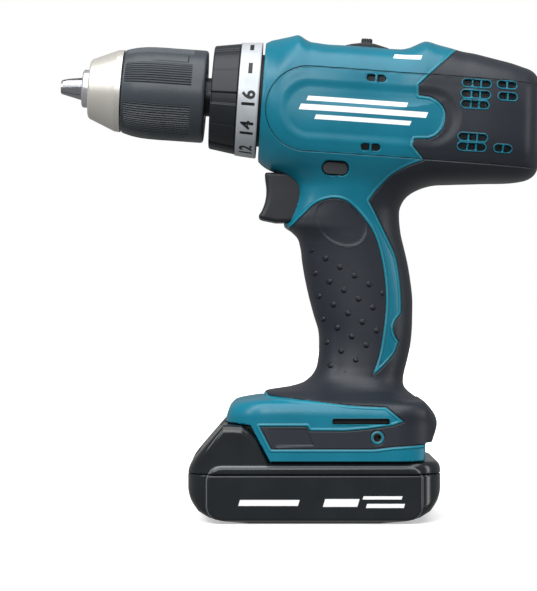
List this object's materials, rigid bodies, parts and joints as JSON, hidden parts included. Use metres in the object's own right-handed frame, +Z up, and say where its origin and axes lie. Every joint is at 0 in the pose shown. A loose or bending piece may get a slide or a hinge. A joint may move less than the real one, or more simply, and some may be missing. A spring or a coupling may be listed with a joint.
{
  "type": "cordless drill driver",
  "caption": "Compact pistol-grip drill driver with keyless three-jaw chuck, torque ring, two-speed selector, planetary gearbox and slide-on battery foot.",
  "frame": {"origin": "centre of the battery's flat underside, where the tool stands", "axes": "+Z up; +X towards the back of the tool, so the chuck's nose is at -X; -Y is the tool's left side"},
  "size_m": [0.2169, 0.075, 0.2176],
  "materials": {
    "teal_shell": "moulded, fine texture",
    "soft_grip": "soft overmould, matt",
    "black_plastic": "moulded, satin",
    "ring_plastic": "moulded, satin",
    "battery_plastic": "moulded, semi-gloss",
    "nylon": "glass-filled nylon",
    "clear_lens": "clear moulded lens",
    "silver_paint": "silver, semi-gloss",
    "nickel": "turned and nickel plated",
    "steel": "turned",
    "dark_steel": "blackened and ground",
    "spring_steel": "drawn wire",
    "brass": "stamped",
    "copper": "copper, wound",
    "ferrite": "sintered",
    "carbon": "pressed carbon",
    "board": "circuit board",
    "cell_wrap": "shrink wrap",
    "lead_rubber": "insulated leads"
  },
  "bodies": {
    "tool": {"left_housing": "teal_shell", "right_housing": "teal_shell", "left_overmould": "soft_grip", "right_overmould": "soft_grip", "housing_fasteners": "dark_steel", "switch_unit": "black_plastic", "terminal_block": "black_plastic", "terminal_blades": "brass", "light_lens": "clear_lens", "gear_case": "nylon", "gear_case_cover": "nylon", "spindle_bearing": "steel", "clutch_pins": "steel", "thrust_washer": "steel", "clutch_spring": "spring_steel", "fixed_ring_gears": "steel", "motor_yoke": "steel", "motor_magnets": "ferrite", "motor_bearings": "steel", "brush_holder": "black_plastic", "carbon_brushes": "carbon", "leads": "lead_rubber"},
    "trigger": {"trigger": "black_plastic"},
    "reversing_lever": {"reversing_lever": "black_plastic"},
    "speed_selector": {"speed_selector": "black_plastic", "sliding_ring_gear": "steel"},
    "torque_ring": {"torque_ring": "ring_plastic", "scale_ring": "silver_paint"},
    "spring_nut": {"spring_nut": "nylon"},
    "spindle": {"spindle": "steel", "chuck_body": "steel", "nose_cone": "nickel", "chuck_screw": "dark_steel"},
    "chuck_sleeve": {"chuck_sleeve": "black_plastic", "chuck_nut": "steel"},
    "jaw_1": {"jaw_1": "dark_steel"},
    "jaw_2": {"jaw_2": "dark_steel"},
    "jaw_3": {"jaw_3": "dark_steel"},
    "carrier_2": {"carrier_2": "steel"},
    "carrier_1": {"carrier_1": "steel"},
    "armature": {"armature_core": "dark_steel", "armature_copper": "copper", "motor_shaft": "steel", "motor_fan": "black_plastic"},
    "battery": {"battery_lower_case": "battery_plastic", "battery_upper_case": "battery_plastic", "battery_cells": "cell_wrap", "battery_board": "board", "battery_contacts": "brass", "latch_spring": "spring_steel"},
    "battery_latch": {"battery_latch": "battery_plastic"},
    "planet_1a": {"planet_1a": "steel"},
    "planet_1b": {"planet_1b": "steel"},
    "planet_1c": {"planet_1c": "steel"},
    "planet_2a": {"planet_2a": "steel"},
    "planet_2b": {"planet_2b": "steel"},
    "planet_2c": {"planet_2c": "steel"},
    "planet_3a": {"planet_3a": "steel"},
    "planet_3b": {"planet_3b": "steel"},
    "planet_3c": {"planet_3c": "steel"}
  },
  "joints": [
    {"name": "spindle_spin", "type": "hinge", "parent": "tool", "child": "spindle", "pos_m": [-0.0231, 0, 0.1882], "axis": [-0.9976, 0, 0.0698], "continuous": true},
    {"name": "carrier_2_spin", "type": "hinge", "parent": "tool", "child": "carrier_2", "pos_m": [-0.00315, 0, 0.1868], "axis": [-0.9976, 0, 0.0698], "continuous": true},
    {"name": "carrier_1_spin", "type": "hinge", "parent": "tool", "child": "carrier_1", "pos_m": [0.00683, 0, 0.18611], "axis": [-0.9976, 0, 0.0698], "continuous": true},
    {"name": "armature_spin", "type": "hinge", "parent": "tool", "child": "armature", "pos_m": [0.04673, 0, 0.18332], "axis": [-0.9976, 0, 0.0698], "continuous": true},
    {"name": "planet_3a_spin", "type": "hinge", "parent": "spindle", "child": "planet_3a", "pos_m": [-0.00935, 0, 0.19852], "axis": [-0.9976, 0, 0.0698], "continuous": true},
    {"name": "planet_3b_spin", "type": "hinge", "parent": "spindle", "child": "planet_3b", "pos_m": [-0.01052, -0.00974, 0.18168], "axis": [-0.9976, 0, 0.0698], "continuous": true},
    {"name": "planet_3c_spin", "type": "hinge", "parent": "spindle", "child": "planet_3c", "pos_m": [-0.01052, 0.00974, 0.18168], "axis": [-0.9976, 0, 0.0698], "continuous": true},
    {"name": "planet_2a_spin", "type": "hinge", "parent": "carrier_2", "child": "planet_2a", "pos_m": [0.00063, 0, 0.19782], "axis": [-0.9976, 0, 0.0698], "continuous": true},
    {"name": "planet_2b_spin", "type": "hinge", "parent": "carrier_2", "child": "planet_2b", "pos_m": [-0.00055, -0.00974, 0.18098], "axis": [-0.9976, 0, 0.0698], "continuous": true},
    {"name": "planet_2c_spin", "type": "hinge", "parent": "carrier_2", "child": "planet_2c", "pos_m": [-0.00055, 0.00974, 0.18098], "axis": [-0.9976, 0, 0.0698], "continuous": true},
    {"name": "planet_1a_spin", "type": "hinge", "parent": "carrier_1", "child": "planet_1a", "pos_m": [0.0116, 0, 0.19705], "axis": [-0.9976, 0, 0.0698], "continuous": true},
    {"name": "planet_1b_spin", "type": "hinge", "parent": "carrier_1", "child": "planet_1b", "pos_m": [0.01043, -0.00974, 0.18022], "axis": [-0.9976, 0, 0.0698], "continuous": true},
    {"name": "planet_1c_spin", "type": "hinge", "parent": "carrier_1", "child": "planet_1c", "pos_m": [0.01043, 0.00974, 0.18022], "axis": [-0.9976, 0, 0.0698], "continuous": true},
    {"name": "sleeve_turn", "type": "hinge", "parent": "spindle", "child": "chuck_sleeve", "pos_m": [-0.06799, 0, 0.19134], "axis": [-0.9976, 0, 0.0698], "range_deg": [0, 4629]},
    {"name": "jaw_1_slide", "type": "slide", "parent": "spindle", "child": "jaw_1", "axis": [0.9742, -0.2255, -0.0076], "range_m": [0, 0.0275]},
    {"name": "jaw_2_slide", "type": "slide", "parent": "spindle", "child": "jaw_2", "axis": [0.9543, 0.0604, -0.2928], "range_m": [0, 0.0275]},
    {"name": "jaw_3_slide", "type": "slide", "parent": "spindle", "child": "jaw_3", "axis": [0.9815, 0.1651, 0.0968], "range_m": [0, 0.0275]},
    {"name": "torque_ring_turn", "type": "hinge", "parent": "tool", "child": "torque_ring", "pos_m": [-0.03308, 0, 0.1889], "axis": [-0.9976, 0, 0.0698], "range_deg": [0, 320]},
    {"name": "spring_nut_slide", "type": "slide", "parent": "tool", "child": "spring_nut", "axis": [-0.9976, 0, 0.0698], "range_m": [0, 0.0031]},
    {"name": "speed_selector_slide", "type": "slide", "parent": "tool", "child": "speed_selector", "axis": [0.9976, 0, -0.0698], "range_m": [0, 0.005]},
    {"name": "trigger_pull", "type": "slide", "parent": "tool", "child": "trigger", "axis": [1, 0, 0], "range_m": [0, 0.007], "stiffness_N_per_m": 900, "springref_m": -0.004},
    {"name": "reversing_lever_slide", "type": "slide", "parent": "tool", "child": "reversing_lever", "axis": [0, 1, 0], "range_m": [-0.003, 0.003]},
    {"name": "battery_slide", "type": "slide", "parent": "tool", "child": "battery", "axis": [-1, 0, 0], "range_m": [0, 0.1]},
    {"name": "battery_latch_press", "type": "slide", "parent": "battery", "child": "battery_latch", "axis": [0, 0, -1], "range_m": [0, 0.0035], "stiffness_N_per_m": 800, "springref_m": -0.003, "deforming": ["latch_spring"]}
  ],
  "couplings": [
    {"joint": "carrier_2_spin", "follows": "spindle_spin", "ratio": 4},
    {"joint": "carrier_1_spin", "follows": "spindle_spin", "ratio": 16},
    {"joint": "armature_spin", "follows": "spindle_spin", "ratio": 64},
    {"joint": "planet_3a_spin", "follows": "spindle_spin", "ratio": -3},
    {"joint": "planet_3b_spin", "follows": "spindle_spin", "ratio": -3},
    {"joint": "planet_3c_spin", "follows": "spindle_spin", "ratio": -3},
    {"joint": "planet_2a_spin", "follows": "spindle_spin", "ratio": -12},
    {"joint": "planet_2b_spin", "follows": "spindle_spin", "ratio": -12},
    {"joint": "planet_2c_spin", "follows": "spindle_spin", "ratio": -12},
    {"joint": "planet_1a_spin", "follows": "spindle_spin", "ratio": -48},
    {"joint": "planet_1b_spin", "follows": "spindle_spin", "ratio": -48},
    {"joint": "planet_1c_spin", "follows": "spindle_spin", "ratio": -48},
    {"joint": "jaw_1_slide", "follows": "sleeve_turn", "m_per_rad": 0.00033423},
    {"joint": "jaw_2_slide", "follows": "sleeve_turn", "m_per_rad": 0.00033423},
    {"joint": "jaw_3_slide", "follows": "sleeve_turn", "m_per_rad": 0.00033423},
    {"joint": "spring_nut_slide", "follows": "torque_ring_turn", "m_per_rad": 0.00053715}
  ]
}
